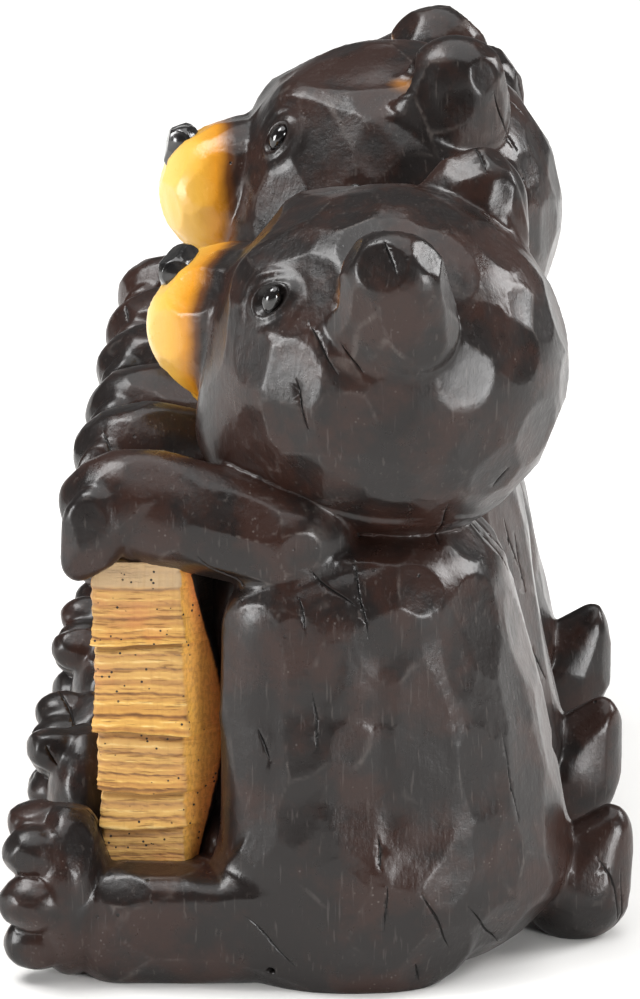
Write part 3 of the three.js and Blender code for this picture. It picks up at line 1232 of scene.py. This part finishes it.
class Nodes:
    """Adds nodes to a tree and wires them up."""

    def __init__(self, tree: bpy.types.NodeTree) -> None:
        """Starts with a tree, which may already hold nodes."""
        self.tree = tree

    def add(self, kind: str, inputs: dict | None = None, **settings: object) -> bpy.types.Node:
        """Adds a node.

        Args:
            kind: the node's type, without "ShaderNode" in front.
            inputs: values or output sockets for its inputs, by name or number.
            settings: the node's own settings by name.

        Returns:
            The node.
        """
        node = self.tree.nodes.new("ShaderNode" + kind)
        for name, value in settings.items():
            setattr(node, name, value)
        for key, value in (inputs or {}).items():
            socket = node.inputs[key]
            if isinstance(value, bpy.types.NodeSocket):
                self.tree.links.new(value, socket)
            else:
                socket.default_value = value
        return node

    def math(self, operation: str, first: object, second: object = 0.0, third: object = 0.0,
             clamp: bool = False) -> bpy.types.NodeSocket:
        """One step of arithmetic on values or sockets, and its result."""
        inputs = {0: first, 1: second, 2: third}
        return self.add("Math", inputs, operation=operation, use_clamp=clamp).outputs[0]

    def noise(self, place: bpy.types.NodeSocket, scale: float, detail: float = 3.0,
              rough: float = 0.5) -> bpy.types.NodeSocket:
        """Soft noise from 0 to 1 at a scale in features a metre."""
        inputs = {"Vector": place, "Scale": scale, "Detail": detail, "Roughness": rough}
        return self.add("TexNoise", inputs).outputs["Fac"]

    def step(self, value: object, low: float, high: float) -> bpy.types.NodeSocket:
        """A soft step of a value between two levels."""
        inputs = {"Value": value, "From Min": low, "From Max": high}
        return self.add("MapRange", inputs, interpolation_type="SMOOTHSTEP").outputs["Result"]

    def mix(self, share: object, first: object, second: object, blend: str = "MIX") -> bpy.types.NodeSocket:
        """One colour laid over another.

        Args:
            share: how much of the second shows, a value or a socket.
            first: the colour below.
            second: the colour above.
            blend: how they are mixed.

        Returns:
            The mixed colour's socket.
        """
        node = self.add("Mix", data_type="RGBA", blend_type=blend)
        for index, value in ((0, share), (6, first), (7, second)):
            if isinstance(value, bpy.types.NodeSocket):
                self.tree.links.new(value, node.inputs[index])
            else:
                node.inputs[index].default_value = value
        return node.outputs[2]

    def attribute(self, name: str) -> bpy.types.NodeSocket:
        """A number stored on the mesh."""
        return self.add("Attribute", attribute_name=name).outputs["Fac"]

    def ramp(self, value: object, stops: list[tuple[float, Colour]]) -> bpy.types.NodeSocket:
        """A colour looked up along a row of stops.

        Args:
            value: where to look, a value or a socket.
            stops: places from 0 to 1 and their colours.

        Returns:
            The colour's socket.
        """
        node = self.add("ValToRGB", {"Fac": value})
        elements = node.color_ramp.elements
        while len(elements) < len(stops):
            elements.new(0.5)
        for element, (place, colour) in zip(elements, stops):
            element.position = place
            element.color = colour
        return node.outputs["Color"]


def new_material(name: str) -> tuple[bpy.types.Material, Nodes, bpy.types.Node]:
    """Makes an empty material.

    Args:
        name: the material's name.

    Returns:
        The material, its nodes and its shader.
    """
    material = bpy.data.materials.new(name)
    material.use_nodes = True
    nodes = Nodes(material.node_tree)
    return material, nodes, material.node_tree.nodes["Principled BSDF"]


class Speckle:
    """Pits, dust and fine scratches, shared by the bears' and the sign's finishes."""

    NAME = "speckle"

    @classmethod
    def group(cls) -> bpy.types.NodeTree:
        """The node group: a place in, masks of pits, dust and strokes out.

        Returns:
            The group, made once.
        """
        found = bpy.data.node_groups.get(cls.NAME)
        if found:
            return found
        tree = bpy.data.node_groups.new(cls.NAME, "ShaderNodeTree")
        tree.interface.new_socket("Place", in_out="INPUT", socket_type="NodeSocketVector")
        for name in ("Pits", "Dust", "Strokes"):
            tree.interface.new_socket(name, in_out="OUTPUT", socket_type="NodeSocketFloat")
        nodes = Nodes(tree)
        place = tree.nodes.new("NodeGroupInput").outputs["Place"]
        end = tree.nodes.new("NodeGroupOutput")
        cells = nodes.add("TexVoronoi", {"Vector": place, "Scale": 150.0}).outputs["Distance"]
        rare = nodes.step(nodes.noise(place, 46.0), 0.56, 0.66)
        pits = nodes.math("MULTIPLY", nodes.step(cells, 0.13, 0.06), rare)
        dust_cells = nodes.add("TexVoronoi", {"Vector": place, "Scale": 420.0}).outputs["Distance"]
        dusty = nodes.step(nodes.noise(place, 60.0), 0.55, 0.7)
        dust = nodes.math("MULTIPLY", nodes.step(dust_cells, 0.22, 0.1), dusty)
        long_place = nodes.add("Mapping", {"Vector": place, "Scale": (700.0, 700.0, 60.0),
                                           "Rotation": (0.2, 0.15, 0.0)}).outputs["Vector"]
        strokes = nodes.noise(long_place, 1.0, 2.0)
        for name, value in (("Pits", pits), ("Dust", dust), ("Strokes", strokes)):
            tree.links.new(value, end.inputs[name])
        return tree

    @classmethod
    def use(cls, nodes: Nodes, place: bpy.types.NodeSocket) -> bpy.types.Node:
        """Adds the group to a material and feeds it a place.

        Args:
            nodes: the material's nodes.
            place: the socket of the places.

        Returns:
            The group's node.
        """
        node = nodes.tree.nodes.new("ShaderNodeGroup")
        node.node_tree = cls.group()
        nodes.tree.links.new(place, node.inputs["Place"])
        return node


@dataclass(frozen=True)
class StainedResin:
    """Near-black brown stain under satin lacquer, lightened grey on the ridges as painted highlight and
    wear, darkened in the splits as painted shade, with sprayed muzzles.
    """

    stain: Colour = rgb("191514")
    warm: Colour = rgb("2b1b16")
    rub_and_highlight: Colour = rgb("6b6460")
    dusty: Colour = rgb("8d8782")
    inner_ear: Colour = rgb("8e5c24")
    # near black painted as shade in the splits and the vent hole
    split: Colour = rgb("0b0908")
    pit: Colour = rgb("0d0a09")
    muzzle: tuple[tuple[float, Colour], ...] = (
        (0.0, rgb("191514")),
        (0.13, rgb("55300f")),
        (0.27, rgb("bd7d1c")),
        (0.5, rgb("ce9c3a")),
        (1.0, rgb("debf74")),
    )
    roughness: float = 0.31
    specular: float = 0.24
    lacquer: float = 0.2
    lacquer_roughness: float = 0.16

    def material(self) -> bpy.types.Material:
        """The finish, made once and shared by the three bears.

        Returns:
            The material.
        """
        found = bpy.data.materials.get("stained_resin")
        if found:
            return found
        material, nodes, shader = new_material("stained_resin")
        place = nodes.add("TexCoord").outputs["Object"]
        speckle = Speckle.use(nodes, place)
        patches = nodes.step(nodes.noise(place, 30.0, 6.0, 0.65), 0.42, 0.6)
        base = nodes.mix(patches, self.stain, self.warm)
        # painted highlight with wear: the carved ridges are lightened towards grey in patches
        ridge = nodes.attribute("ridge")
        ridge_patches = nodes.step(nodes.noise(place, 45.0, 4.0, 0.65), 0.45, 0.68)
        ridge_highlight_and_wear = nodes.math("MULTIPLY", nodes.step(ridge, 0.25, 0.95), ridge_patches)
        base = nodes.mix(nodes.math("MULTIPLY", ridge_highlight_and_wear, 0.35), base, self.rub_and_highlight)
        strokes = nodes.step(speckle.outputs["Strokes"], 0.62, 0.74)
        base = nodes.mix(nodes.math("MULTIPLY", strokes, 0.16), base, self.rub_and_highlight)
        base = nodes.mix(nodes.math("MULTIPLY", speckle.outputs["Dust"], 0.2), base, self.dusty)
        drift = nodes.math("MULTIPLY_ADD", nodes.noise(place, 90.0, 3.0), 0.12, -0.06)
        zone = nodes.attribute("muzzle")
        on_muzzle = nodes.step(zone, 0.0, 0.02)
        shifted = nodes.math("ADD", zone, nodes.math("MULTIPLY", drift, on_muzzle), clamp=True)
        spray = nodes.ramp(shifted, list(self.muzzle))
        base = nodes.mix(nodes.step(shifted, 0.0, 0.12), base, spray)
        base = nodes.mix(nodes.attribute("inner_ear"), base, self.inner_ear)
        # painted shade: the splits and the vent hole are darkened to near black, and made rougher
        check_shade = nodes.attribute("check_shade")
        base = nodes.mix(nodes.math("MULTIPLY", check_shade, 0.9), base, self.split)
        base = nodes.mix(speckle.outputs["Pits"], base, self.pit)
        mottle = nodes.noise(place, 85.0, 6.0, 0.7)
        rough = nodes.math("MULTIPLY_ADD", mottle, 0.34, self.roughness - 0.17)
        rough = nodes.math("ADD", rough, nodes.math("MULTIPLY", check_shade, 0.3), clamp=True)
        grain = nodes.math("MULTIPLY", speckle.outputs["Strokes"], 0.35)
        height = nodes.math("ADD", grain, nodes.math("MULTIPLY", nodes.noise(place, 240.0, 5.0, 0.6), 1.1))
        height = nodes.math("SUBTRACT", height, nodes.math("MULTIPLY", speckle.outputs["Pits"], 1.5))
        bump = nodes.add("Bump", {"Strength": 0.35, "Distance": 0.0006, "Height": height})
        nodes.tree.links.new(base, shader.inputs["Base Color"])
        nodes.tree.links.new(rough, shader.inputs["Roughness"])
        nodes.tree.links.new(bump.outputs["Normal"], shader.inputs["Normal"])
        shader.inputs["Specular IOR Level"].default_value = self.specular
        shader.inputs["Coat Weight"].default_value = self.lacquer
        shader.inputs["Coat Roughness"].default_value = self.lacquer_roughness
        return material


@dataclass(frozen=True)
class BlackGloss:
    """The wet-looking black of eyes and noses, greyed in soft clouds of dust and painted sheen."""

    name: str
    colour: Colour = rgb("0c0a0a")
    dust_and_sheen: Colour = rgb("4a4644")
    roughness: float = 0.12
    dust_and_sheen_share: float = 0.1
    lacquer: float = 0.6
    lacquer_roughness: float = 0.06

    def material(self) -> bpy.types.Material:
        """The finish, made once for each name.

        Returns:
            The material.
        """
        found = bpy.data.materials.get(self.name)
        if found:
            return found
        material, nodes, shader = new_material(self.name)
        place = nodes.add("TexCoord").outputs["Object"]
        speckle = Speckle.use(nodes, place)
        # grey clouds of dust and painted sheen over the black; the speckle's dust adds to them
        dust_and_sheen_cloud = nodes.step(nodes.noise(place, 160.0, 3.0), 0.45, 0.75)
        share = nodes.math("MULTIPLY", dust_and_sheen_cloud, self.dust_and_sheen_share)
        share = nodes.math("ADD", share, nodes.math("MULTIPLY", speckle.outputs["Dust"], 0.2), clamp=True)
        base = nodes.mix(share, self.colour, self.dust_and_sheen)
        rough = nodes.math("MULTIPLY_ADD", nodes.noise(place, 300.0), 0.12, self.roughness - 0.05)
        grain = nodes.noise(place, 500.0)
        bump = nodes.add("Bump", {"Strength": 0.15, "Distance": 0.0003, "Height": grain})
        nodes.tree.links.new(base, shader.inputs["Base Color"])
        nodes.tree.links.new(rough, shader.inputs["Roughness"])
        nodes.tree.links.new(bump.outputs["Normal"], shader.inputs["Normal"])
        shader.inputs["Coat Weight"].default_value = self.lacquer
        shader.inputs["Coat Roughness"].default_value = self.lacquer_roughness
        return material


@dataclass(frozen=True)
class SignPaint:
    """Ochre paint over split wood: pale crests and brown grooves, as painted highlight and painted shade on
    the split ends and as grain along the front, black splits and greyed recessed layers as painted shade,
    and black pores.
    """

    # light and crest serve as painted highlight on the split ends and groove as painted shade there,
    # besides grain and scored marks
    light: Colour = rgb("e3c684")
    crest: Colour = rgb("c79a4a")
    base: Colour = rgb("ad7b38")
    groove: Colour = rgb("744c20")
    # dark brown painted as shade in the splits and the deepest grooves
    split: Colour = rgb("53300f")
    yellow: Colour = rgb("cf9a3e")
    cap: Colour = rgb("a88f6e")
    back: Colour = rgb("c0682f")
    pore: Colour = rgb("1a100a")
    roughness: float = 0.62

    def material(self) -> bpy.types.Material:
        """The finish of the board.

        Returns:
            The material.
        """
        material, nodes, shader = new_material("sign_ochre")
        place = nodes.add("TexCoord").outputs["Object"]
        speckle = Speckle.use(nodes, place)
        crest = nodes.attribute("crest")
        flow = nodes.add("Mapping", {"Vector": place, "Scale": (30.0, 120.0, 420.0)}).outputs["Vector"]
        streak = nodes.noise(flow, 1.0, 4.0, 0.6)
        level = nodes.math("ADD", crest, nodes.math("MULTIPLY_ADD", streak, 0.4, -0.2), clamp=True)
        # the ramp paints highlight on the crests and shade in the grooves, darkest in the deepest grooves
        stops = [
            (0.08, self.split),
            (0.28, self.groove),
            (0.5, self.base),
            (0.78, self.crest),
            (1.0, self.light),
        ]
        base = nodes.ramp(level, stops)
        stain = nodes.step(nodes.noise(place, 40.0, 4.0, 0.6), 0.5, 0.7)
        base = nodes.mix(nodes.math("MULTIPLY", stain, 0.35), base, self.back)
        base = nodes.mix(nodes.math("MULTIPLY", nodes.attribute("shade"), 0.3), base, self.cap)
        level_run = nodes.add("Mapping", {"Vector": place, "Scale": (90.0, 90.0, 1500.0)}).outputs["Vector"]
        scored = nodes.step(nodes.noise(level_run, 1.0, 3.0, 0.6), 0.56, 0.68)
        base = nodes.mix(nodes.math("MULTIPLY", scored, 0.7), base, self.groove)
        slant = nodes.add("Mapping", {"Vector": place, "Scale": (300.0, 1200.0, 500.0),
                                      "Rotation": (0.5, 0.0, 0.0)}).outputs["Vector"]
        hatch = nodes.step(nodes.noise(slant, 1.0, 3.0), 0.42, 0.62)
        rust = nodes.math("MULTIPLY_ADD", nodes.noise(place, 70.0), 0.8, -0.4)
        rust = nodes.math("ADD", nodes.attribute("rust"), rust, clamp=True)
        wedge = nodes.mix(rust, self.yellow, self.back)
        wedge = nodes.mix(nodes.math("MULTIPLY", hatch, 0.35), wedge, self.groove)
        base = nodes.mix(nodes.attribute("wedge"), base, wedge)
        base = nodes.mix(nodes.attribute("cap"), base, self.cap)
        uneven = nodes.math("MULTIPLY_ADD", streak, 0.5, -0.3)
        spatter = nodes.math("ADD", nodes.attribute("seam"), uneven, clamp=True)
        base = nodes.mix(nodes.step(spatter, 0.55, 0.95), base, self.pore)
        fine = nodes.step(speckle.outputs["Strokes"], 0.5, 0.72)
        base = nodes.mix(nodes.math("MULTIPLY", fine, 0.12), base, self.groove)
        # painted shade: the splits under the broken layers in near-black brown
        base = nodes.mix(nodes.attribute("notch_shade"), base, self.split)
        cells = nodes.add("TexVoronoi", {"Vector": place, "Scale": 330.0}).outputs["Distance"]
        rare = nodes.step(nodes.noise(place, 90.0), 0.44, 0.5)
        pores = nodes.math("MULTIPLY", nodes.step(cells, 0.17, 0.12), rare)
        base = nodes.mix(pores, base, self.pore)
        rough = nodes.math("MULTIPLY_ADD", nodes.noise(place, 130.0), 0.25, self.roughness - 0.12)
        height = nodes.math("ADD", streak, nodes.math("MULTIPLY", speckle.outputs["Strokes"], 0.3))
        height = nodes.math("SUBTRACT", height, nodes.math("MULTIPLY", scored, 0.6))
        height = nodes.math("SUBTRACT", height, nodes.math("MULTIPLY", pores, 2.0))
        bump = nodes.add("Bump", {"Strength": 0.5, "Distance": 0.0008, "Height": height})
        nodes.tree.links.new(base, shader.inputs["Base Color"])
        nodes.tree.links.new(rough, shader.inputs["Roughness"])
        nodes.tree.links.new(bump.outputs["Normal"], shader.inputs["Normal"])
        return material


# ---- The studio ----------------------------------------------------------------------------


@dataclass(frozen=True)
class Lamp:
    """A soft square light that looks at a point."""

    name: str
    at: tuple[float, float, float]
    size: float
    watts: float
    toward: tuple[float, float, float] = (0.0, 0.0, 0.13)

    def build(self) -> None:
        """Adds the light."""
        data = bpy.data.lights.new(self.name, "AREA")
        data.shape = "SQUARE"
        data.size = self.size
        data.energy = self.watts
        lamp = bpy.data.objects.new(self.name, data)
        bpy.context.scene.collection.objects.link(lamp)
        lamp.location = self.at
        lamp.rotation_euler = (Vector(self.toward) - Vector(self.at)).to_track_quat("-Z", "Y").to_euler()


@dataclass(frozen=True)
class Studio:
    """Plain pale floor, soft light and the camera."""

    azimuth: float = 91.5
    elevation: float = 17.0  # both in degrees, round from the front and up from level
    distance: float = 1.645
    target: tuple[float, float, float] = (0.0, -0.003, 0.126)
    lens: float = 158.3
    sensor: float = 36.0
    floor_size: float = 60.0
    floor_colour: Colour = rgb("efeeec")
    world_light: float = 0.14
    sun_light: float = 2.4
    sun_width: float = 70.0
    lamps: tuple[Lamp, ...] = (
        Lamp("key", (0.2, -1.1, 2.1), 0.9, 34.0),
        Lamp("left", (0.9, -2.0, 0.45), 0.7, 30.0),
        Lamp("rim", (-0.5, 1.8, 1.2), 0.8, 30.0),
        Lamp("right", (1.6, 1.4, 0.45), 0.6, 26.0),
    )

    def build(self) -> None:
        """Sets up the floor, the lights and the camera."""
        self.floor()
        self.sun()
        for lamp in self.lamps:
            lamp.build()
        self.world()
        self.camera()

    def floor(self) -> None:
        """A plain matt floor that fills the view."""
        deselect_all()
        bpy.ops.mesh.primitive_plane_add(size=self.floor_size)
        floor = bpy.context.object
        floor.name = "floor"
        material, _, shader = new_material("floor")
        shader.inputs["Base Color"].default_value = self.floor_colour
        shader.inputs["Roughness"].default_value = 0.9
        floor.data.materials.append(material)

    def sun(self) -> None:
        """A very soft light straight down, so that the floor is pale all over."""
        data = bpy.data.lights.new("sky", "SUN")
        data.energy = self.sun_light
        data.angle = math.radians(self.sun_width)
        sun = bpy.data.objects.new("sky", data)
        bpy.context.scene.collection.objects.link(sun)

    def world(self) -> None:
        """Even light from all round."""
        world = bpy.data.worlds.new("studio")
        world.use_nodes = True
        background = world.node_tree.nodes["Background"]
        background.inputs["Color"].default_value = (1.0, 1.0, 1.0, 1.0)
        background.inputs["Strength"].default_value = self.world_light
        bpy.context.scene.world = world

    def camera(self) -> None:
        """A long lens at the near bear's side, a little above."""
        data = bpy.data.cameras.new("camera")
        data.lens = self.lens
        data.sensor_width = self.sensor
        data.dof.use_dof = False
        camera = bpy.data.objects.new("camera", data)
        bpy.context.scene.collection.objects.link(camera)
        turn, rise = math.radians(self.azimuth), math.radians(self.elevation)
        back = Vector((math.sin(turn) * math.cos(rise), -math.cos(turn) * math.cos(rise), math.sin(rise)))
        camera.location = Vector(self.target) + back * self.distance
        camera.rotation_euler = (-back).to_track_quat("-Z", "Y").to_euler()
        data.clip_start, data.clip_end = 0.05, 100.0
        bpy.context.scene.camera = camera
        bpy.context.scene.view_settings.view_transform = "Standard"


# ---- The group -----------------------------------------------------------------------------


def main() -> None:
    """Builds the bears, the sign and the studio in order."""
    logging.basicConfig(level=logging.INFO, format="%(message)s")
    resin = StainedResin()
    gloss = BlackGloss("eye_gloss")
    # the noses carry more grey clouds of dust and painted sheen than the eyes
    satin = BlackGloss("nose_satin", roughness=0.24, dust_and_sheen_share=0.5)
    bears = [
        Bear("left_bear", 112.0, 210.0, Pose(-20.0, 14.0, -3.0), seed=11, ear_rise=(6.0, -4.0),
             vent=(176.0, -17.0, 6.0)),
        Bear("middle_bear", 0.0, 238.0, Pose(4.0, -8.0, 0.0), seed=12, ear_rise=(-1.0, 4.0),
             eye=(36.5, -44.0, 29.5), eye_forward=0.25, eye_slant=(0.6, 0.75)),
        Bear("right_bear", -112.0, 210.0, Pose(20.0, -14.0, -3.0), seed=13, ear_rise=(-4.0, 6.0)),
    ]
    for bear in bears:
        bear.build(resin)
        bear.eyes(gloss)
        bear.nose(satin)
    SignBoard().build(SignPaint())
    Studio().build()


if __name__ == "__main__":
    main()
